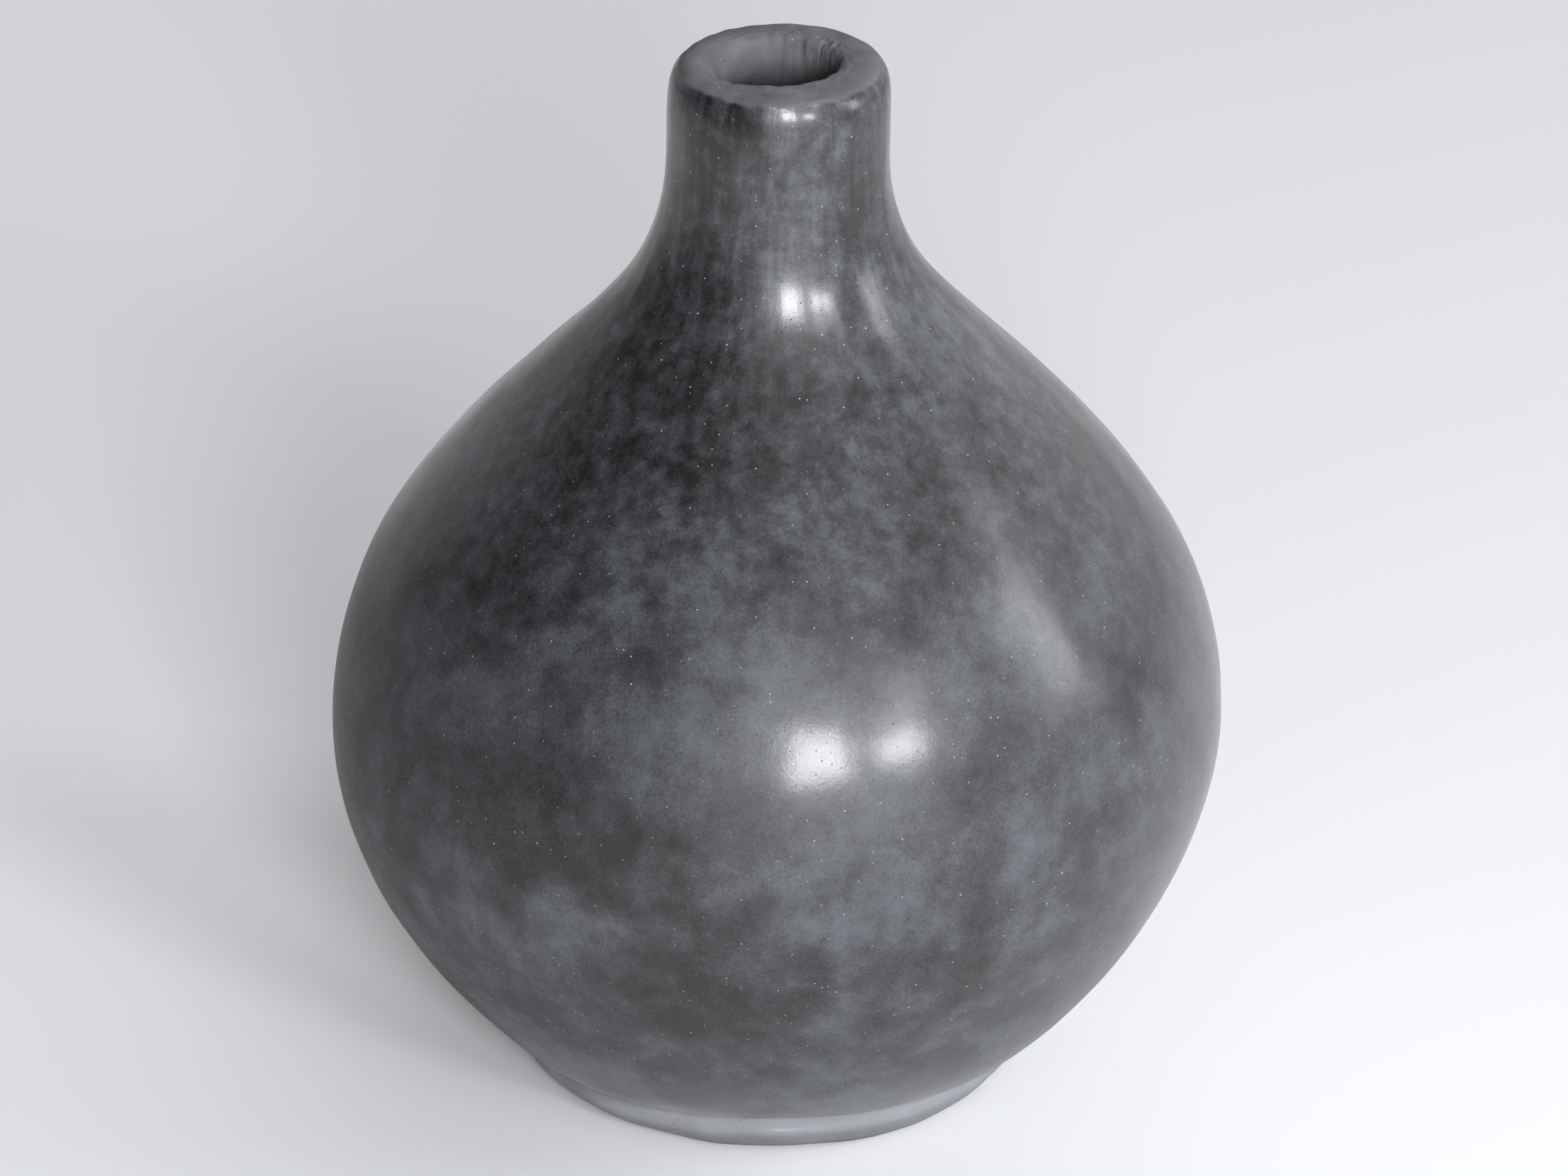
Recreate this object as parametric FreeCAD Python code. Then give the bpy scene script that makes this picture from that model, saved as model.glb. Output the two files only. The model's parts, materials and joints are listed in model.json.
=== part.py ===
import FreeCAD, Part
import os

# A hand-built black clay pot: a round belly that draws in to a slim neck with a finger-wide
# mouth. The potter builds it up in rings of clay, each luted to the rim of the one below, and
# lutes a coil under it as a foot. Each ring of clay is one solid, turned about +Z.
# The origin is the centre of the foot, on the surface that the pot stands on. Millimetres.

# Driving dimensions of the outside
pot_height = 201.0
belly_radius = 81.8
belly_height = 71.4
lip_height = 17.0
foot_radius = 46.4
foot_height = 6.0
foot_round = 4.4

# Driving dimensions of the inside, of the walls and of the foot's underside
mouth_radius = 10.4
neck_wall = 9.5
belly_wall = 7.0
floor_thickness = 9.0
foot_rest_width = 3.5
foot_width = 11.5

# How the clay is joined
foot_ledge = 0.8
seam_lap = 4.0
bowl_seam_share = 0.5
shoulder_seam_share = 0.3
neck_seam_share = 0.63

# The rounds of the rim, as shares of the neck's wall
lip_round_share = 0.63
mouth_round_share = 0.21

# Shapes of the wall, as shares of the way across and of the way up from a curve's start to
# its end. A curve that starts or ends upright has two points in line there.
under_shape = ((0, 0), (0.264, 0.128), (0.693, 0.380), (1, 0.769), (1, 1))
shoulder_shape = ((0, 0), (0, 0.135), (0.192, 0.393), (0.897, 0.742), (1, 0.886), (1, 1))
floor_shape = ((0, 0), (0.53, 0), (0.7, 0.01), (1, 0.77), (1, 1))

turning_axis = FreeCAD.Vector(0, 0, 1)
centre = FreeCAD.Vector(0, 0, 0)


def at(radius, height):
    """A point of the pot's section, which is drawn in the XZ plane."""
    return FreeCAD.Vector(radius, 0, height)


def wall_curve(start, end, shape):
    """A smooth curve from start to end, drawn by the shares in shape."""
    curve = Part.BSplineCurve()
    curve.buildFromPoles(
        [at(start.x + (end.x - start.x) * across, start.z + (end.z - start.z) * up)
         for across, up in shape]
    )
    return curve


def seam(outside, inside, share):
    """The ends of a lapped seam, as parameters of the two curves.

    share says how far along the outside it is. On the inside it comes out seam_lap lower.
    """
    edge = outside.toShape()
    along = edge.Length * share
    outer_end = edge.getParameterByLength(along)
    lapped = outside.value(edge.getParameterByLength(along - seam_lap))
    return outer_end, inside.parameter(lapped)


def turned(edges):
    """The solid that a closed outline makes when it is turned about the pot's axis."""
    outline = Part.Wire(Part.__sortEdges__(edges))
    return Part.Face(outline).revolve(centre, turning_axis, 360)


def clay_ring(outside, inside, low, high):
    """The ring of wall between two seams, with its lapped faces."""
    return turned([
        outside.toShape(low[0], high[0]),
        Part.makeLine(outside.value(high[0]), inside.value(high[1])),
        inside.toShape(low[1], high[1]),
        Part.makeLine(inside.value(low[1]), outside.value(low[0])),
    ])


def base_bowl(outside, inside, high):
    """The opened lump that is the floor and the lowest wall, flat where the foot joins it."""
    underside_edge = outside.value(outside.FirstParameter)
    floor_centre = inside.value(inside.FirstParameter)
    underside_centre = at(0, underside_edge.z)
    return turned([
        Part.makeLine(underside_centre, underside_edge),
        outside.toShape(outside.FirstParameter, high[0]),
        Part.makeLine(outside.value(high[0]), inside.value(high[1])),
        inside.toShape(inside.FirstParameter, high[1]),
        Part.makeLine(floor_centre, underside_centre),
    ])


def quarter_round(start, end, corner):
    """A quarter circle from start to end that rounds off the corner between them."""
    radius = start.distanceToPoint(corner)
    round_centre = start + end - corner
    middle = round_centre + (corner - round_centre).normalize() * radius
    return Part.Arc(start, middle, end).toShape()


def lip_coil(outer_foot, inner_foot):
    """The last coil, wetted and smoothed over into a rounded lip with a straight bore."""
    lip_round = neck_wall * lip_round_share
    mouth_round = neck_wall * mouth_round_share
    side_end = at(outer_foot.x, pot_height - lip_round)
    rim_outer = at(outer_foot.x - lip_round, pot_height)
    rim_inner = at(inner_foot.x + mouth_round, pot_height)
    mouth_edge = at(inner_foot.x, pot_height - mouth_round)
    return turned([
        Part.makeLine(outer_foot, side_end),
        quarter_round(side_end, rim_outer, at(outer_foot.x, pot_height)),
        Part.makeLine(rim_outer, rim_inner),
        quarter_round(rim_inner, mouth_edge, at(inner_foot.x, pot_height)),
        Part.makeLine(mouth_edge, inner_foot),
        Part.makeLine(inner_foot, outer_foot),
    ])


def foot_ring():
    """The coil luted under the bowl: rounded outside, a flat resting edge, sloped inside."""
    side_top = at(foot_radius, foot_height)
    side_end = at(foot_radius, foot_round)
    rest_outer = at(foot_radius - foot_round, 0)
    rest_inner = at(foot_radius - foot_round - foot_rest_width, 0)
    recess_edge = at(foot_radius - foot_width, foot_height)
    return turned([
        Part.makeLine(side_top, side_end),
        quarter_round(side_end, rest_outer, at(foot_radius, 0)),
        Part.makeLine(rest_outer, rest_inner),
        Part.makeLine(rest_inner, recess_edge),
        Part.makeLine(recess_edge, side_top),
    ])


# Where the wall's curves start and end
neck_top = pot_height - lip_height
under_edge = at(foot_radius + foot_ledge, foot_height)
floor_centre = at(0, foot_height + floor_thickness)
belly_outside = at(belly_radius, belly_height)
belly_inside = at(belly_radius - belly_wall, belly_height - seam_lap)
neck_outside = at(mouth_radius + neck_wall, neck_top)
neck_inside = at(mouth_radius, neck_top - seam_lap)

under_outside = wall_curve(under_edge, belly_outside, under_shape)
under_inside = wall_curve(floor_centre, belly_inside, floor_shape)
shoulder_outside = wall_curve(belly_outside, neck_outside, shoulder_shape)
shoulder_inside = wall_curve(belly_inside, neck_inside, shoulder_shape)

# The seams, from the lowest up. The belly's seam is where the lower and upper curves meet.
bowl_seam = seam(under_outside, under_inside, bowl_seam_share)
belly_seam_below = (under_outside.LastParameter, under_inside.LastParameter)
belly_seam_above = (shoulder_outside.FirstParameter, shoulder_inside.FirstParameter)
shoulder_seam = seam(shoulder_outside, shoulder_inside, shoulder_seam_share)
neck_seam = seam(shoulder_outside, shoulder_inside, neck_seam_share)
lip_seam = (shoulder_outside.LastParameter, shoulder_inside.LastParameter)

pieces = {
    "foot_ring": foot_ring(),
    "base_bowl": base_bowl(under_outside, under_inside, bowl_seam),
    "lower_belly_coil": clay_ring(under_outside, under_inside, bowl_seam, belly_seam_below),
    "upper_belly_coil": clay_ring(
        shoulder_outside, shoulder_inside, belly_seam_above, shoulder_seam
    ),
    "shoulder_coil": clay_ring(shoulder_outside, shoulder_inside, shoulder_seam, neck_seam),
    "neck_coil": clay_ring(shoulder_outside, shoulder_inside, neck_seam, lip_seam),
    "lip_coil": lip_coil(neck_outside, neck_inside),
}

os.makedirs("parts", exist_ok=True)
for node, solid in pieces.items():
    print(f"{node}: {solid.Volume / 1000:.1f} cm3, closed {solid.isValid()}")
    solid.exportStep(f"parts/{node}.step")
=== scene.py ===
import json
import math

import bpy
import numpy as np
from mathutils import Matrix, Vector


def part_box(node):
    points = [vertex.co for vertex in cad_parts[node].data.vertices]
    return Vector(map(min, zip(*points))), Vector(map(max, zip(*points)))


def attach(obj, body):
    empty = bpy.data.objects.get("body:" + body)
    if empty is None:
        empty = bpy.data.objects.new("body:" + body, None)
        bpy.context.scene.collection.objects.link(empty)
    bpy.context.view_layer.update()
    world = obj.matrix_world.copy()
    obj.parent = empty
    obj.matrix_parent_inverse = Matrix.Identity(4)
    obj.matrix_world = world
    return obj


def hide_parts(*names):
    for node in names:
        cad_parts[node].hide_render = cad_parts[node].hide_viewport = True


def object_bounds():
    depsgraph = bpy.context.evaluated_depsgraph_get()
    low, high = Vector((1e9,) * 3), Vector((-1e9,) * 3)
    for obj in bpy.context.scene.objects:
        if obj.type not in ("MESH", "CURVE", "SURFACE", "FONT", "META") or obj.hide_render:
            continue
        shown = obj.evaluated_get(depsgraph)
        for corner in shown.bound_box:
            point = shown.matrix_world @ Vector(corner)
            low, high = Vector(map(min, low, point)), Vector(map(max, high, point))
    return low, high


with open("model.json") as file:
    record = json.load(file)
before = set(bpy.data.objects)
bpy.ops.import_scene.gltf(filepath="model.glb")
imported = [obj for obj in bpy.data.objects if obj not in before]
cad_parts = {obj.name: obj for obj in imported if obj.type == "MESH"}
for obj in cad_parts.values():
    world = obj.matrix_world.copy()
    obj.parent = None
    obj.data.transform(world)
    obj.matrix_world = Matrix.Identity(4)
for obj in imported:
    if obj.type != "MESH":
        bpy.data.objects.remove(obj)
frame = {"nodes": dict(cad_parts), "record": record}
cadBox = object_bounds()
mm = 0.001
print("frame loaded:", len(frame["nodes"]), "rings of clay")

# what the CAD says about the pot, in mm
potTop = cadBox[1].z / mm
bellyRadius = cadBox[1].x / mm
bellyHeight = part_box("lower_belly_coil")[1].z / mm
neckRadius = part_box("lip_coil")[1].x / mm
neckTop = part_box("neck_coil")[1].z / mm
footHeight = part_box("foot_ring")[1].z / mm
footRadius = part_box("foot_ring")[1].x / mm
mouthBore = next(m for m in frame["record"]["mounts"] if m["name"] == "mouth_bore")
boreRadius = mouthBore["dims"]["r_mm"]

# how the wall is drawn and worked, in mm and in shares of a curve's way across and up
wallForm = {
    "under": [(0, 0), (0.264, 0.128), (0.693, 0.380), (1, 0.769), (1, 1)],
    "shoulder": [(0, 0), (0, 0.135), (0.192, 0.393), (0.897, 0.742), (1, 0.886), (1, 1)],
    "floor": [(0, 0), (0.53, 0), (0.7, 0.01), (1, 0.77), (1, 1)],
    "bellyWall": 7.0, "floorThickness": 9.0, "footLedge": 0.8, "seamLap": 4.0,
    "bowlSeam": 0.5, "shoulderSeam": 0.3, "neckSeam": 0.63,  # shares of a curve's length
    # heights, and how far the axis stands to the right and to the front there
    "lean": [(0, -0.9, 0), (22, -1.2, 0), (45, -1.0, 0), (62, -0.5, 0), (80, 0.1, 0), (100, 0.5, 0),
             (125, 0.1, 0.2), (140, 0.5, 0.8), (152, 0.7, 1.6), (166, -0.3, 2.4), (182, -0.1, 2.4),
             (201, 0.4, 2.2)],
    "slack": 0.55, "slackFrom": (60, 92), "slackTo": (156, 172),  # the shoulder sits in this much
    "outOfRound": [(2, 0.30, 0.6), (3, 0.22, 2.1), (5, 0.10, 4.0)],  # waves round, mm, phase
    "skinStep": 0.8, "insideStep": 3.0, "lipStep": 0.35, "turns": 540,
}

def smoothLine(poles, samples=500):
    # cubic B-spline from the first pole to the last: steps turned into a basis by de Boor's rule
    poles = np.array(poles, float)
    degree = 3
    inner = np.linspace(0, 1, len(poles) - degree + 1)
    knots = np.concatenate([np.zeros(degree), inner, np.ones(degree)])
    t = np.linspace(0, 1, samples)[:, None]
    basis = ((t >= knots[:-1]) & (t < knots[1:])).astype(float)
    basis[-1, len(poles) - 1] = 1
    for k in range(1, degree + 1):
        rise, fall = knots[k:-1] - knots[:-k - 1], knots[k + 1:] - knots[1:-k]
        up = np.where(rise > 0, (t - knots[:-k - 1]) / np.where(rise > 0, rise, 1), 0)
        down = np.where(fall > 0, (knots[k + 1:] - t) / np.where(fall > 0, fall, 1), 0)
        basis = up * basis[:, :-1] + down * basis[:, 1:]
    return np.tensordot(basis, poles, 1)

def between(start, end, shares):
    # poles that lie at these shares of the way across and up from start to end
    start, end = np.array(start, float), np.array(end, float)
    return start + np.array(shares) * (end - start)

def lengths(line):
    # distance along a line to each of its points
    return np.concatenate([[0], np.cumsum(np.linalg.norm(np.diff(line, axis=0), axis=1))])

def evenly(line, step):
    # the same line with its points about one step apart
    run = lengths(line)
    places = np.linspace(0, run[-1], max(2, round(run[-1] / step) + 1))
    return np.stack([np.interp(places, run, line[:, k]) for k in (0, 1)], 1)

def nearestRow(line, point):
    # the row whose squared distance to the point is least
    return int(np.argmin(((line - np.array(point)) ** 2).sum(1)))

def atShare(line, share, back=0.0):
    # the point a share of the way along a line, less a few mm
    run = lengths(line)
    return [np.interp(run[-1] * share - back, run, line[:, k]) for k in (0, 1)]

def lumps(points, size, seed, waves=48, squash=(1, 1, 1)):
    # sum of cosine waves in random directions, near size long, from about -1 to 1
    dice = np.random.default_rng(seed)
    ways = dice.normal(size=(3, waves))
    ways *= 2 * math.pi / size * dice.uniform(0.6, 1.5, waves) / np.linalg.norm(ways, axis=0)
    ways *= np.array(squash, float)[:, None]
    return np.cos(points @ ways + dice.uniform(0, 2 * math.pi, waves)).sum(-1) / math.sqrt(waves)

def fade(low, high, values):
    # smooth step from 0 at low to 1 at high
    t = np.clip((values - low) / (high - low), 0, 1)
    return t * t * (3 - 2 * t)

def near(angle, middle, spread):
    # 1 at the middle azimuth and falling to 0 away from it, in degrees, as a bell round the pot
    gap = (angle - math.radians(middle) + math.pi) % (2 * math.pi) - math.pi
    return np.exp(-(gap / math.radians(spread)) ** 2)

turn = np.arange(wallForm["turns"]) * 2 * math.pi / wallForm["turns"]

# the pot's outline, from the foot's inner edge round the mouth to the floor's middle

footForm = {
    # mm out from the foot's radius, and height
    "outline": [(-11.5, 6.0), (-9.6, 3.2), (-8.8, 0.7), (-8.2, 0.0), (-7.0, 0.0), (-5.6, 0.0),
                (-4.0, 0.0), (-2.4, 0.5), (-1.1, 1.9), (-0.5, 3.5), (0.1, 4.5), (0.1, 5.1), (-0.6, 6.0),
                (-0.5, 7.7), (1.3, 9.9)],
    # the ring stands out more at the left: mm, azimuth, spread, and the heights where this ends
    "wider": [(1.3, -152, 48), (0.4, -30, 40)], "widerTo": (13, 8), "widerFrom": (0.5, 5),
    "joinOut": 8.5, "joinBack": 4.0,  # the fillet runs out on the body this far out from the foot
    "step": 0.5, "rowsAtMost": 80, "jointOut": 0.2,
}
lipForm = {
    # mm out from the bore, and mm from the top: even all round, creased in front, funnelled left
    "even": [(9.5, -14), (9.5, -9.5), (9.5, -5.2), (8.7, -2.4), (6.4, -0.7), (3.8, -0.3), (2.0, -0.3),
             (0.7, -0.5), (0.0, -1.6), (0.0, -5.0), (0.0, -12)],
    "creased": [(9.5, -14), (9.7, -11), (9.5, -7.6), (8.8, -4.2), (7.8, -1.8), (7.5, -1.5), (4.6, -0.8),
                (1.2, -0.3), (0.0, -1.2), (0.0, -5.0), (0.0, -12)],
    "funnelled": [(9.5, -14), (9.5, -9.2), (9.4, -5.0), (8.6, -2.4), (6.8, -1.1), (4.9, -0.8),
                  (3.4, -1.4), (1.9, -2.9), (0.8, -5.0), (0.2, -8.0), (0.0, -12)],
    "creaseAt": (-100, 66), "funnelAt": (178, 46),  # azimuth and spread, degrees
}

underStart = (footRadius + wallForm["footLedge"], footHeight)
bellyOut = (bellyRadius, bellyHeight)
bellyIn = (bellyRadius - wallForm["bellyWall"], bellyHeight - wallForm["seamLap"])
underLine = smoothLine(between(underStart, bellyOut, wallForm["under"]))
shoulderLine = smoothLine(between(bellyOut, (neckRadius, neckTop), wallForm["shoulder"]))
shoulderInside = smoothLine(
    between(bellyIn, (boreRadius, neckTop - wallForm["seamLap"]), wallForm["shoulder"]))
floorTop = footHeight + wallForm["floorThickness"]
floorInside = smoothLine(between((0, floorTop), bellyIn, wallForm["floor"]))

joinRow = int(np.argmin(np.abs(underLine[:, 0] - footRadius - footForm["joinOut"])))
joinWay = underLine[joinRow + 1] - underLine[joinRow - 1]
joinWay *= footForm["joinBack"] / np.linalg.norm(joinWay)
footLine = smoothLine([(footRadius + out, up) for out, up in footForm["outline"]]
                      + [tuple(underLine[joinRow] - joinWay), tuple(underLine[joinRow])])
lipPoles = {name: np.array([(boreRadius + out, potTop + up) for out, up in lipForm[name]])
            for name in ("even", "creased", "funnelled")}
lipEven = smoothLine(lipPoles["even"])
lipRows = round(lengths(lipEven)[-1] / wallForm["lipStep"])

lowWall = underLine[underLine[:, 0] > footLine[-1, 0]]
upWall = shoulderLine[shoulderLine[:, 1] < lipEven[0, 1]]
skinLine = np.concatenate([
    evenly(footLine, footForm["step"])[:-1],
    evenly(np.concatenate([footLine[-1:], lowWall, upWall[1:], lipEven[:1]]), wallForm["skinStep"])[:-1],
])
insideLine = evenly(np.concatenate([
    lipEven[-1:], shoulderInside[::-1], floorInside[::-1][1:]]), wallForm["insideStep"])[1:]
lipStart = len(skinLine)
lipEnd = lipStart + lipRows
outline = np.concatenate([skinLine, smoothLine(lipPoles["even"], lipRows), insideLine])
print("outline:", len(outline), "rows of", len(turn))

# the outline carried round: the lip's poles slide between its three forms with the azimuth
crease = near(turn, *lipForm["creaseAt"])
funnel = near(turn, *lipForm["funnelAt"])
share = crease / np.maximum(1, crease + funnel), funnel / np.maximum(1, crease + funnel)
lipRound = (lipPoles["even"][:, None]
            + share[0][:, None] * (lipPoles["creased"] - lipPoles["even"])[:, None]
            + share[1][:, None] * (lipPoles["funnelled"] - lipPoles["even"])[:, None])
drawn = np.repeat(outline[:, None], len(turn), 1)
drawn[lipStart:lipEnd] = smoothLine(lipRound, lipRows)
along = np.repeat(lengths(outline)[:, None], len(turn), 1)
azimuth = np.repeat(turn[None], len(outline), 0)

def carried(section, angle):
    # radius and height turned to azimuth: x = r cos a, y = r sin a, z = h
    return np.stack([section[..., 0] * np.cos(angle), section[..., 0] * np.sin(angle),
                     section[..., 1]], -1)

def facing(grid):
    # unit normals of a grid: the step round crossed with the step along
    around = np.roll(grid, -1, 1) - np.roll(grid, 1, 1)
    ahead = np.gradient(grid, axis=0)
    normal = np.cross(around, ahead)
    return normal / np.maximum(np.linalg.norm(normal, axis=-1, keepdims=True), 1e-9)

# how the clay was worked: hand-made unevenness, laid on along the normal, in mm

handWork = {
    "belly": 0.16, "bellySize": 46, "dents": 0.05, "dentSize": 17,
    "strokes": 0.035, "strokeSize": 5.0,
    "rim": 0.10, "rimSize": 5.0, "bore": 0.10, "boreSize": 4.0, "gouges": 0.20, "gougeSize": 2.0,
    "inside": 0.7, "insideSize": 22, "foot": 0.16, "footSize": 19,
}

smooth = carried(drawn, azimuth)
outward = facing(smooth)
row = np.arange(len(outline))[:, None] * np.ones(len(turn))
radius, height = drawn[..., 0], drawn[..., 1]
mouthRow = lipStart + int(np.argmin(np.abs(outline[lipStart:lipEnd, 0] - (boreRadius + 2))))
isOutside = 1 - fade(mouthRow - 4, mouthRow + 2, row)
isBore = fade(mouthRow - 2, mouthRow + 6, row) * fade(potTop - 60, potTop - 30, height)
isInside = fade(lipEnd - 10, lipEnd + 6, row)
isRim = isOutside * fade(8.4, 7.0, radius - boreRadius) * fade(potTop - 6, potTop - 3, height)
strokeSpace = np.stack([np.cos(azimuth) * neckRadius, np.sin(azimuth) * neckRadius, along * 0.14], -1)
onNeck = fade(bellyHeight + 20, neckTop - 40, height) * isOutside * (1 - isRim)

push = isOutside * (handWork["belly"] * lumps(smooth, handWork["bellySize"], 3)
                    + handWork["dents"] * lumps(smooth, handWork["dentSize"], 5))
push += onNeck * handWork["strokes"] * lumps(strokeSpace, handWork["strokeSize"], 7)
push += isRim * handWork["rim"] * lumps(smooth, handWork["rimSize"], 11)
rough = near(azimuth, 35, 75)  # the bore is torn at the right and behind
push += isBore * handWork["bore"] * lumps(smooth, handWork["boreSize"], 13)
push += isBore * rough * handWork["gouges"] * np.minimum(
    lumps(smooth, handWork["gougeSize"], 17, squash=(1, 1, 0.16)), 0.3)
push += isInside * handWork["inside"] * lumps(smooth, handWork["insideSize"], 19)
push += fade(9, 3, height) * isOutside * handWork["foot"] * lumps(smooth, handWork["footSize"], 23)
push -= (wallForm["slack"] * isOutside * fade(*wallForm["slackFrom"], height)
         * (1 - fade(*wallForm["slackTo"], height)))
atFoot = isOutside * fade(*footForm["widerTo"], height) * fade(*footForm["widerFrom"], height)
for size, middle, spread in footForm["wider"]:
    push += size * near(azimuth, middle, spread) * atFoot
for waves, size, phase in wallForm["outOfRound"]:
    push += size * np.cos(waves * azimuth + phase) * fade(2, 30, height) * fade(potTop, 150, height)

worked = smooth + outward * push[..., None]
leanHeights, leanRight, leanFront = smoothLine(wallForm["lean"]).T
worked[..., 0] += np.interp(height, leanHeights, leanRight)
worked[..., 1] -= np.interp(height, leanHeights, leanFront)
worked[..., 2] = np.maximum(worked[..., 2], 0)  # nothing below the surface it stands on
workedFacing = facing(worked)
print("clay worked:", worked.shape[0] * worked.shape[1], "points")

# one closed piece for each ring of clay, cut from the worked wall along the lapped seams

def outsideRow(point):
    # the outside row nearest to a point
    return nearestRow(outline[:lipStart], point)

def insideRow(point):
    # the inside row nearest to a point
    return lipEnd + nearestRow(outline[lipEnd:], point)

def lappedSeam(line, share):
    # the outside row at a share of the line, and the inside row one lap further back
    return outsideRow(atShare(line, share)), insideRow(atShare(line, share, wallForm["seamLap"]))

footJoint = (footRadius + footForm["jointOut"], footHeight)
seams = {  # the outside row and the inside row that each seam joins
    "foot": (nearestRow(outline[:footForm["rowsAtMost"]], footJoint), None),
    "bowl": lappedSeam(underLine, wallForm["bowlSeam"]),
    "belly": (outsideRow(bellyOut), insideRow(bellyIn)),
    "shoulder": lappedSeam(shoulderLine, wallForm["shoulderSeam"]),
    "neck": lappedSeam(shoulderLine, wallForm["neckSeam"]),
    "lip": (outsideRow((neckRadius, neckTop)), insideRow((boreRadius, neckTop - wallForm["seamLap"]))),
}
print("seams:", {name: rows for name, rows in seams.items()})

def closedMesh(name, rows, normals, sharpRows, marks, poles=(False, False)):
    # rows of points joined round and along; the last row joins the first, or each end closes in a point
    count, turns = rows.shape[:2]
    points = rows.reshape(-1, 3)
    i, j = np.arange(count)[:, None], np.arange(turns)[None]
    ahead = (j + 1) % turns
    if any(poles):
        i = i[:-1]
    above = (i + 1) % count
    quads = np.stack(np.broadcast_arrays(i * turns + j, i * turns + ahead, above * turns + ahead,
                                         above * turns + j), -1).reshape(-1, 4)
    last = (count - 1) * turns
    fans = np.zeros((0, 3), int)
    if any(poles):
        lowEnd, highEnd = len(points), len(points) + 1
        points = np.concatenate([points, rows[0].mean(0)[None], rows[-1].mean(0)[None]])
        j, ahead = j[0], ahead[0]
        fans = np.concatenate([np.stack([np.full(turns, lowEnd), ahead, j], 1),
                               np.stack([last + j, last + ahead, np.full(turns, highEnd)], 1)])
    mesh = bpy.data.meshes.new(name)
    mesh.vertices.add(len(points))
    mesh.vertices.foreach_set("co", (points * mm).ravel())
    corners = np.concatenate([quads.ravel(), fans.ravel()])
    mesh.loops.add(len(corners))
    mesh.loops.foreach_set("vertex_index", corners)
    mesh.polygons.add(len(quads) + len(fans))
    starts = np.concatenate([np.arange(len(quads)) * 4, len(quads) * 4 + np.arange(len(fans)) * 3])
    mesh.polygons.foreach_set("loop_start", starts)
    mesh.update(calc_edges=True)
    mesh.polygons.foreach_set("use_smooth", np.ones(len(mesh.polygons), bool))
    ends = np.empty(len(mesh.edges) * 2, int)
    mesh.edges.foreach_get("vertices", ends)
    edgeRows = (ends // turns).reshape(-1, 2)
    isSharp = (edgeRows[:, 0] == edgeRows[:, 1]) & np.isin(edgeRows[:, 0], sharpRows)
    mesh.attributes.new("sharp_edge", "BOOLEAN", "EDGE").data.foreach_set("value", isSharp)
    # the wall's own normals, so that the shading runs on from ring to ring; nothing on the seam faces
    given = np.zeros((len(corners), 3))
    quadRow = np.repeat(np.arange(len(quads)) // turns, 4)
    onWall = np.concatenate([normals["rows"][quadRow], np.zeros(fans.size, bool)])
    flat = np.concatenate([normals["at"].reshape(-1, 3), np.zeros((2, 3))])
    given[onWall] = flat[corners[onWall]]
    mesh.normals_split_custom_set(given)
    for mark, values in marks.items():
        kind = "FLOAT_VECTOR" if values.ndim == 3 else "FLOAT"
        width = 3 if values.ndim == 3 else 1
        flat = values.reshape(-1, width)
        flat = np.concatenate([flat, np.repeat(flat[:1], len(points) - len(flat), 0)])
        field = "vector" if width == 3 else "value"
        mesh.attributes.new(mark, kind, "POINT").data.foreach_set(field, flat.ravel())
    piece = bpy.data.objects.new(name, mesh)
    bpy.context.scene.collection.objects.link(piece)
    return piece

# where the stone polished the clay, and where smoke darkened it; the smoke mark is partly real smoke
# clouds and partly painted shade on the front-left belly and the neck's left, where the light falls off
smokeAndShadeForm = {  # azimuth in degrees, height and size in mm, and how dark (pale below 0)
    "clouds": [(-129, 79, 11, 0.9), (-121, 77, 9, 0.9), (-112, 74, 9, 0.8), (-106, 76, 8, 0.5),
               (-146, 140, 12, 0.6), (-112, 149, 8, 0.7), (-98, 141, 9, 0.5), (-64, 140, 10, 0.5),
               (-52, 134, 10, 0.6), (-96, 153, 6, 0.6), (-130, 182, 9, 0.9), (-134, 152, 9, 0.6),
               (-74, 113, 8, 0.5), (-92, 53, 9, 0.5),
               (-101, 48, 9, 0.6), (-110, 46, 9, 0.5), (-67, 50, 9, 0.5), (-130, 164, 8, 0.6),
               (-148, 195, 7, 0.7), (-152, 180, 9, 0.7), (-146, 168, 8, 0.5), (-62, 181, 6, 0.5),
               (-23, 180, 6, 0.6),
               (-121, 64, 9, -0.7), (-112, 64, 7, -0.5), (-82, 64, 9, -0.5), (-79, 132, 10, -0.4),
               (-56, 71, 10, -0.4), (-104, 88, 8, -0.4), (-92, 185, 7, -0.4), (-128, 60, 9, -0.6),
               (30, 88, 16, 0.8), (70, 60, 14, -0.6), (110, 110, 15, 0.8), (150, 75, 15, 0.7),
               (175, 120, 12, -0.5), (85, 135, 12, 0.6), (-178, 60, 13, 0.6), (0, 125, 13, 0.5)],
    "drift": 3.2, "driftSize": 13, "driftSeeds": (51, 52, 53),  # the clouds' edges wander this far
    "polishedFrom": (0.2, 1.4), "edgeWander": 0.3, "edgeSize": 6,  # heights up the foot's edge
    "rimEdge": (0.2, 0.9), "rimWander": 0.14, "rimSize": 3.5,
}
rimLine = isRim + smokeAndShadeForm["rimWander"] * lumps(smooth, smokeAndShadeForm["rimSize"], 29)
polish = isOutside * (1 - fade(*smokeAndShadeForm["rimEdge"], rimLine))
footLevel = height + smokeAndShadeForm["edgeWander"] * lumps(smooth, smokeAndShadeForm["edgeSize"], 31)
polish *= fade(*smokeAndShadeForm["polishedFrom"], footLevel)
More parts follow.
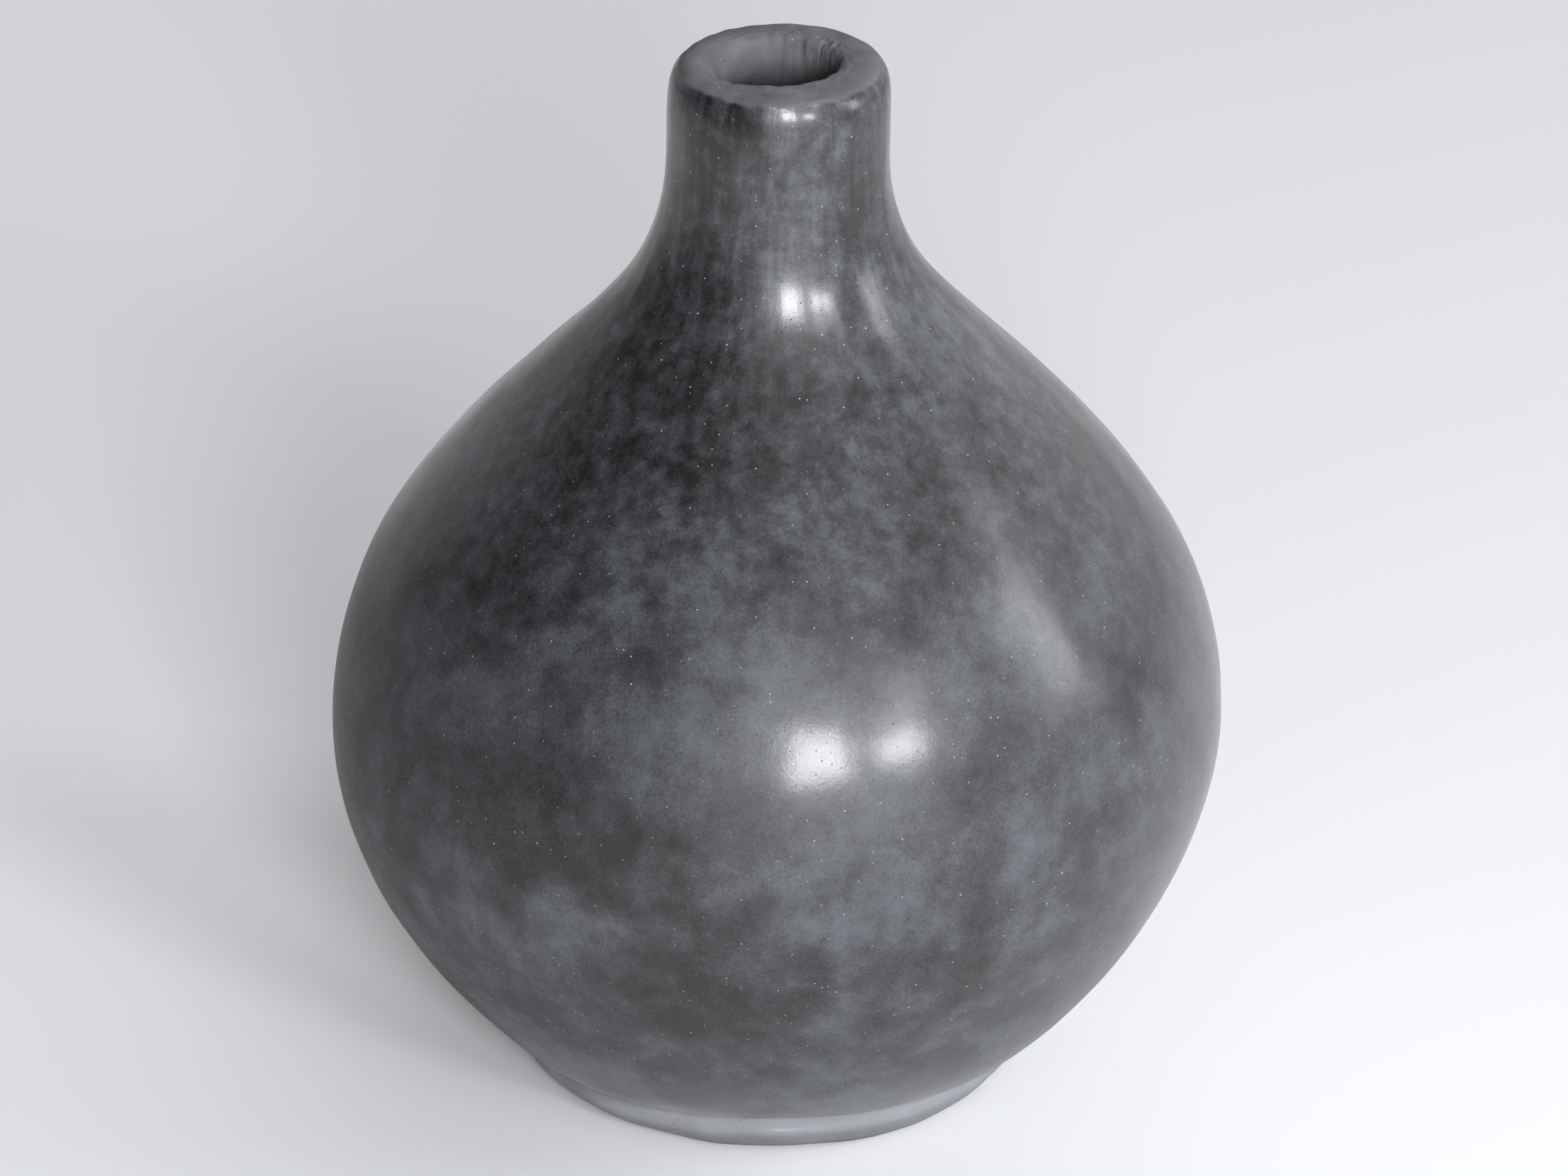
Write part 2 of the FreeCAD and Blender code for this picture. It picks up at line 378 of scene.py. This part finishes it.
# smoke and painted shade = tanh of the clouds' sum, each a bell of its distance from a wandering point
smoke = np.zeros_like(radius)
wander = [lumps(smooth, smokeAndShadeForm["driftSize"], seed) for seed in smokeAndShadeForm["driftSeeds"]]
drift = smooth + smokeAndShadeForm["drift"] * np.stack(wander, -1)
for angle, up, size, strength in smokeAndShadeForm["clouds"]:
    out = drawn[np.argmin(np.abs(outline[:lipEnd, 1] - up)), 0, 0]
    way = math.radians(angle)
    centre = np.array([out * math.cos(way), out * math.sin(way), up])
    smoke += strength * np.exp(-((drift - centre) ** 2).sum(-1) / (2 * size ** 2))
smoke = np.tanh(smoke)
# painted light from the floor: paler where the foot meets the body, a little up the lowest wall and along
# the foot's edge; the same mark dulls the polish there
floorLightAndGlossForm = {  # heights and widths in mm, azimuths and spreads in degrees
    "middle": 8.4, "wave": 0.5, "waveSize": 12, "band": 3.2,
    "tail": 0.30, "tailUp": 2, "tailSize": 11, "tailFrom": (-3, 0),
    "foot": 0.42, "footFrom": (7.5, 5.2), "edge": (0.5, 2),
    "round": 0.56, "patches": [(0.28, -45, 60), (0.5, -135, 32)],  # how strong, azimuth, spread
    "dulls": 0.5, "lowGloss": 0.45, "lowTo": (15, 65),
    "leftDull": 0.72, "leftAt": (-160, 48), "leftTo": (120, 92),
}
above = height - floorLightAndGlossForm["middle"] - floorLightAndGlossForm["wave"] * lumps(smooth, floorLightAndGlossForm["waveSize"], 41)
tail = np.exp(-((above - floorLightAndGlossForm["tailUp"]) / floorLightAndGlossForm["tailSize"]) ** 2)
worn = np.exp(-(above / floorLightAndGlossForm["band"]) ** 2)
worn += floorLightAndGlossForm["tail"] * tail * fade(*floorLightAndGlossForm["tailFrom"], above)
worn += floorLightAndGlossForm["foot"] * fade(*floorLightAndGlossForm["footFrom"], height)
amount = floorLightAndGlossForm["round"]
# the patches paint more light at the front-right, toward the lamps, and at the front-left, where the belly
# shades the foot
for strength, middle, spread in floorLightAndGlossForm["patches"]:
    amount = amount + strength * near(azimuth, middle, spread)
worn *= isOutside * fade(*floorLightAndGlossForm["edge"], height) * amount
polish *= 1 - floorLightAndGlossForm["dulls"] * worn
# the stone worked least on the low wall and round the left side
gloss = polish * (floorLightAndGlossForm["lowGloss"] + (1 - floorLightAndGlossForm["lowGloss"]) * fade(*floorLightAndGlossForm["lowTo"], height))
gloss *= 1 - floorLightAndGlossForm["leftDull"] * near(azimuth, *floorLightAndGlossForm["leftAt"]) * fade(*floorLightAndGlossForm["leftTo"], height)
# the shoulder is mottled finely, the lowest wall coarsely, the belly's middle least
mottleForm = {"fineFrom": (100, 140), "calmAt": 92, "calmSize": 20, "calm": 0.45, "brushFrom": (118, 170)}
fine = fade(*mottleForm["fineFrom"], height)
calm = mottleForm["calm"] * np.exp(-((height - mottleForm["calmAt"]) / mottleForm["calmSize"]) ** 2)
coarse = (1 - 0.5 * fine) * (1 - calm)
brushed = 0.12 + 0.88 * fade(*mottleForm["brushFrom"], height)
# the smoke mark carries painted shade as well as smoke, and the floor-light mark carries painted light
marks = {"polish": polish, "gloss": gloss, "smoke": smoke, "worn": worn, "brushed": brushed, "fine": fine,
         "coarse": coarse, "strokes": strokeSpace * mm}

def wallPiece(node, lowSeam, highSeam):
    # the outside rows between two seams and the inside rows back down, closed by the two seam faces
    outer = np.arange(seams[lowSeam][0], seams[highSeam][0] + 1)
    inner = np.arange(seams[highSeam][1], seams[lowSeam][1] + 1)
    return ringPiece(node, np.concatenate([outer, inner]), [len(outer) - 1])

def ringPiece(node, rowsUsed, seamRows, poles=(False, False), extra=None):
    # seamRows are the rows whose band ahead is a seam face; the band that closes the ring is one too
    rows, at = worked[rowsUsed], workedFacing[rowsUsed]
    used = {mark: values[rowsUsed] for mark, values in marks.items()}
    if extra is not None:
        rows = np.concatenate([extra, rows])
        at = np.concatenate([np.zeros_like(extra), at])
        used = {mark: np.concatenate([np.repeat(values[:1] * 0, len(extra), 0), values])
                for mark, values in used.items()}
        seamRows = [k + len(extra) for k in seamRows] + list(range(len(extra)))
    onWall = np.ones(len(rows), bool)
    onWall[seamRows] = False
    onWall[-1] = False
    ends = set() if any(poles) else {0, len(rows) - 1}
    corners = sorted({k for r in seamRows for k in (r, r + 1)} | ends)
    if extra is not None:
        corners = [c for c in corners if c >= len(extra) - 2]
    piece = closedMesh(node + "_clay", rows, {"rows": onWall, "at": at}, corners, used, poles)
    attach(piece, "root")
    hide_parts(node)
    return piece

footRows = np.arange(0, seams["foot"][0] + 1)
pieces = [ringPiece("foot_ring", footRows, [])]
# the bowl's underside: flat discs of the recess, then the joint face that sits on the foot ring
recessEdge = worked[0]
undersideForm = {"rows": 40, "inmost": 0.02, "lumps": 0.5, "lumpSize": 24, "hollow": 0.6}
spread = np.linspace(undersideForm["inmost"], 1, undersideForm["rows"])[:, None, None]
middle = np.array([recessEdge[:, 0].mean(), recessEdge[:, 1].mean(), footHeight])
underside = middle + (recessEdge - middle) * spread
sag = undersideForm["lumps"] * lumps(underside, undersideForm["lumpSize"], 37) - undersideForm["hollow"]
underside[..., 2] = recessEdge[:, 2] + sag * np.clip(1 - spread[..., 0], 0, 1) ** 0.5
bowlRows = np.concatenate([np.arange(seams["foot"][0], seams["bowl"][0] + 1),
                           np.arange(seams["bowl"][1], len(outline))])
pieces.append(ringPiece("base_bowl", bowlRows, [seams["bowl"][0] - seams["foot"][0]],
                        poles=(True, True), extra=underside))
pieces.append(wallPiece("lower_belly_coil", "bowl", "belly"))
pieces.append(wallPiece("upper_belly_coil", "belly", "shoulder"))
pieces.append(wallPiece("shoulder_coil", "shoulder", "neck"))
pieces.append(wallPiece("neck_coil", "neck", "lip"))
pieces.append(ringPiece("lip_coil", np.arange(seams["lip"][0], seams["lip"][1] + 1), []))
print("pieces made:", [(p.name, len(p.data.polygons)) for p in pieces])

# the clay: burnished outside, matt on the rim, in the mouth and under the foot
clayLook = {
    "dark": (0.0086, 0.0078, 0.0082), "middle": (0.0385, 0.0403, 0.0440), "pale": (0.0805, 0.0862, 0.0940),
    "mattDark": (0.095, 0.097, 0.101), "mattPale": (0.145, 0.148, 0.153),
    # painted light: the pale colour the lowest wall and foot take from the floor's light
    "worn": (0.36, 0.368, 0.382),
    # the pit colour is painted shade inside the small holes
    "speck": (0.46, 0.46, 0.45), "pit": (0.012, 0.012, 0.012),
    # each layer of mottling: size in mm, detail, how strongly it shows
    "clouds": (26, 3, 1.1), "mottle": (10, 3, 1.9), "flecks": (3.0, 4, 1.0), "grain": (0.5, 2, 0.9),
    "streak": (1.8, 4, 1.4), "smokeDepth": 0.46, "toneSpread": 0.55, "twist": 0.12,
    "shine": 0.44, "coatIndex": 1.40, "coatWeight": 0.72,  # how strongly the skin and the polish mirror
    "baseRoughness": (0.38, 0.50), "mattRoughness": 0.80, "polishRoughness": 0.19,
    "speckCell": 1.3, "speckSize": 0.18, "speckShare": 0.36,
    "pitCell": 0.9, "pitSize": 0.15, "pitShare": 0.45,
    "relief": {"streak": 0.030, "grain": 0.010, "flecks": 0.020, "pit": 0.05, "matt": 0.10},  # mm
}

def nodeKit(tree):
    # short ways to add a node, feed its sockets, and do sums with values
    def add(kind, **settings):
        node = tree.nodes.new(kind)
        for key, value in settings.items():
            setattr(node, key, value)
        return node

    def feed(node, sockets):
        for key, value in sockets.items():
            if isinstance(value, bpy.types.NodeSocket):
                tree.links.new(value, node.inputs[key])
            else:
                node.inputs[key].default_value = value
        return node

    def sums(kind, a, b):
        return feed(add("ShaderNodeMath", operation=kind), {0: a, 1: b}).outputs[0]

    def ramp(value, low, high, start=0.0, end=1.0, kind="SMOOTHSTEP"):
        node = add("ShaderNodeMapRange", interpolation_type=kind)
        return feed(node, {"Value": value, "From Min": low, "From Max": high,
                           "To Min": start, "To Max": end}).outputs["Result"]

    def blend(share, a, b):
        node = add("ShaderNodeMix", data_type="RGBA")
        pair = [x if isinstance(x, bpy.types.NodeSocket) else (*x, 1) for x in (a, b)]
        return feed(node, {0: share, 6: pair[0], 7: pair[1]}).outputs[2]

    def slide(share, a, b):
        return feed(add("ShaderNodeMix", data_type="FLOAT"), {0: share, 2: a, 3: b}).outputs[0]
    return add, feed, sums, ramp, blend, slide

def burnishedClay():
    # tone = layers of noise less the smoke and painted shade; the tone picks the colour from dark over
    # middle to pale
    material = bpy.data.materials.new("burnishedBlackClay")
    material.use_nodes = True
    add, feed, sums, ramp, blend, slide = nodeKit(material.node_tree)
    shader = material.node_tree.nodes["Principled BSDF"]
    place = add("ShaderNodeTexCoord").outputs["Object"]
    look = clayLook

    def mark(name, output="Fac"):
        return add("ShaderNodeAttribute", attribute_name=name).outputs[output]

    def noise(size, detail, where=place, twist=0.0):
        node = add("ShaderNodeTexNoise")
        return feed(node, {"Vector": where, "Scale": 1 / (size * mm), "Detail": detail,
                           "Roughness": 0.56, "Distortion": twist}).outputs["Fac"]

    def dots(cell, size, share, shift):
        # round dots of this size in a share of the cells; each has its own strength
        moved = feed(add("ShaderNodeMapping"), {"Vector": place, "Location": shift}).outputs[0]
        cells = feed(add("ShaderNodeTexVoronoi"), {"Vector": moved, "Scale": 1 / (cell * mm)})
        ragged = sums("ADD", cells.outputs["Distance"], sums("MULTIPLY", grain, size / cell))
        dot = ramp(ragged, size / cell * 0.8, size / cell * 1.5, 1.0, 0.0)
        dice = feed(add("ShaderNodeSeparateColor"), {"Color": cells.outputs["Color"]}).outputs[0]
        return sums("MULTIPLY", dot, ramp(dice, 1 - share, 1.0, 0.0, 1.0))

    polished, smokedAndShaded, worn = (mark(name) for name in ("polish", "smoke", "worn"))
    extent = {"streak": mark("brushed"), "mottle": mark("coarse"),
              "flecks": sums("ADD", 0.6, mark("fine"))}
    layers = {name: noise(look[name][0], look[name][1], twist=look["twist"])
              for name in ("clouds", "mottle", "flecks")}
    grain = layers["grain"] = noise(look["grain"][0], look["grain"][1])
    layers["streak"] = noise(look["streak"][0], look["streak"][1], where=mark("strokes", "Vector"))
    # the smoke mark darkens the tone: real smoke clouds, and painted shade on the front-left belly and the
    # neck's left
    tone = sums("MULTIPLY", smokedAndShaded, -look["smokeDepth"])
    for name, layer in layers.items():
        layer = sums("MULTIPLY", sums("SUBTRACT", layer, 0.5), look[name][2])
        if name in extent:
            layer = sums("MULTIPLY", layer, extent[name])
        tone = sums("ADD", tone, layer)
    spread = look["toneSpread"]
    colour = blend(ramp(tone, -spread, 0.05, kind="LINEAR"), look["dark"], look["middle"])
    colour = blend(ramp(tone, 0.0, spread, kind="LINEAR"), colour, look["pale"])
    matt = blend(ramp(layers["mottle"], 0.3, 0.7), look["mattDark"], look["mattPale"])
    # the polished skin near the foot turns pale with the painted floor light
    colour = blend(polished, matt, blend(worn, colour, look["worn"]))
    specks = dots(look["speckCell"], look["speckSize"], look["speckShare"], (0, 0, 0))
    pits = dots(look["pitCell"], look["pitSize"], look["pitShare"], (0.31, 0.17, 0.05))
    colour = blend(specks, colour, look["speck"])
    # painted shade: the pits are painted near black for the shade inside the small holes
    colour = blend(pits, colour, look["pit"])

    duller = ramp(layers["mottle"], 0.35, 0.65)
    skin = slide(duller, look["baseRoughness"][0], look["baseRoughness"][1])
    feed(shader, {"Specular IOR Level": look["shine"], "Coat IOR": look["coatIndex"],
                  "Coat Roughness": look["polishRoughness"]})
    feed(shader, {"Base Color": colour, "Roughness": slide(mark("gloss"), look["mattRoughness"], skin),
                  "Coat Weight": sums("MULTIPLY", mark("gloss"), look["coatWeight"])})

    deep = look["relief"]
    height = sums("MULTIPLY", pits, -deep["pit"])
    for name in ("streak", "grain", "flecks"):
        height = sums("ADD", height, sums("MULTIPLY", layers[name], deep[name]))
    grit = sums("MULTIPLY", sums("ADD", layers["flecks"], layers["grain"]), deep["matt"])
    bump = feed(add("ShaderNodeBump"), {"Distance": mm, "Height": slide(polished, grit, height)})
    feed(shader, {"Normal": bump.outputs[0], "Coat Normal": bump.outputs[0]})
    return material

clay = burnishedClay()
for piece in pieces:
    piece.data.materials.append(clay)
print("clay made")

# the studio: pale floor, three bright panels in front, a soft ceiling, and a room that glows at the back
studio = {
    "floor": (0.90, 0.90, 0.90), "floorSize": 12.0, "floorRoughness": 0.9, "daylight": (0.955, 0.97, 1.0),
    "panels": {  # azimuth from the front to the right, elevation, width and height in degrees, watts
        "front": {"azimuth": 7.5, "elevation": 20.8, "wide": 13, "high": 13, "watts": 19},
        "right": {"azimuth": 31, "elevation": 20.5, "wide": 10.5, "high": 7.5, "watts": 9},
        "upper": {"azimuth": 35, "elevation": 31, "wide": 11, "high": 10, "watts": 1.6},
        "side": {"azimuth": 82, "elevation": 22, "wide": 17, "high": 26, "watts": 8.6},
    },
    "reach": 1.6,
    "ceiling": {"height": 2.4, "size": 2.2, "watts": 3.5, "at": (0.5, 0.3)},
    "room": (0.05, 0.05, 0.052),
    "glows": {  # soft patches: azimuth, elevation, where each is full and where it ends, brightness
        "rightWall": (150, 20, 34, 50, 0.98), "leftWall": (-160, 28, 30, 46, 0.35),
        "frontRoom": (32, 18, 36, 78, 0.49),
    },
}

def paleFloor():
    # one square at height 0, half its size out each way
    half = studio["floorSize"] / 2
    mesh = bpy.data.meshes.new("floor")
    square = [(-half, -half, 0), (half, -half, 0), (half, half, 0), (-half, half, 0)]
    mesh.from_pydata(square, [], [(0, 1, 2, 3)])
    floor = bpy.data.objects.new("floor", mesh)
    bpy.context.scene.collection.objects.link(floor)
    paint = bpy.data.materials.new("paleFloor")
    paint.use_nodes = True
    sockets = paint.node_tree.nodes["Principled BSDF"].inputs
    sockets["Base Color"].default_value = (*studio["floor"], 1)
    sockets["Roughness"].default_value = studio["floorRoughness"]
    mesh.materials.append(paint)

def lamp(name, spot, size, watts, target=Vector((0, 0, 0.1))):
    # a rectangle of light at the spot, turned so that its face looks at the target
    light = bpy.data.lights.new(name, "AREA")
    light.shape = "RECTANGLE"
    light.size, light.size_y = size
    light.energy = watts
    light.color = studio["daylight"]
    holder = bpy.data.objects.new(name, light)
    holder.location = spot
    holder.rotation_euler = (Vector(spot) - target).to_track_quat("Z", "Y").to_euler()
    holder.visible_camera = False
    bpy.context.scene.collection.objects.link(holder)

def toward(azimuth, elevation):
    # unit vector: azimuth 0 is the front, growing to the right
    a, e = math.radians(azimuth), math.radians(elevation)
    return Vector((math.sin(a) * math.cos(e), -math.cos(a) * math.cos(e), math.sin(e)))

def studioLights():
    # each panel's width = twice the reach times the tangent of half its angle
    reach = studio["reach"]
    for name, panel in studio["panels"].items():
        spot = toward(panel["azimuth"], panel["elevation"]) * reach + Vector((0, 0, 0.1))
        size = [2 * reach * math.tan(math.radians(panel[way]) / 2) for way in ("wide", "high")]
        lamp(name, spot, size, panel["watts"])
    top = studio["ceiling"]
    lamp("ceiling", (*top["at"], top["height"]), (top["size"], top["size"]), top["watts"])

def roomLight():
    # light = room + each glow's brightness, fading from its full angle to its end
    world = bpy.data.worlds.new("room")
    bpy.context.scene.world = world
    world.use_nodes = True
    tree = world.node_tree
    add, feed, sums, ramp, blend, slide = nodeKit(tree)
    way = add("ShaderNodeTexCoord").outputs["Generated"]
    glow = 0.0
    for azimuth, elevation, full, end, bright in studio["glows"].values():
        aim = feed(add("ShaderNodeVectorMath", operation="DOT_PRODUCT"),
                   {0: way, 1: toward(azimuth, elevation)}).outputs["Value"]
        patch = ramp(aim, math.cos(math.radians(end)), math.cos(math.radians(full)), 0.0, bright)
        glow = sums("ADD", glow, patch)
    feed(tree.nodes["Background"], {"Color": blend(glow, studio["room"], studio["daylight"])})

viewpoint = {"lens": 218.5, "sensor": 36, "clip": (0.05, 50), "at": (0.001, -1.558, 0.884), "down": 26.9}

def lookFrom():
    # level across, and tipped down from the horizon by its own angle
    camera = bpy.data.objects.new("camera", bpy.data.cameras.new("camera"))
    camera.data.lens = viewpoint["lens"]
    camera.data.sensor_width = viewpoint["sensor"]
    camera.data.clip_start, camera.data.clip_end = viewpoint["clip"]
    camera.location = viewpoint["at"]
    camera.rotation_euler = (math.radians(90 - viewpoint["down"]), 0, 0)
    bpy.context.scene.collection.objects.link(camera)
    bpy.context.scene.camera = camera
    bpy.context.scene.view_settings.view_transform = "Standard"

paleFloor()
studioLights()
roomLight()
lookFrom()
print("studio set")
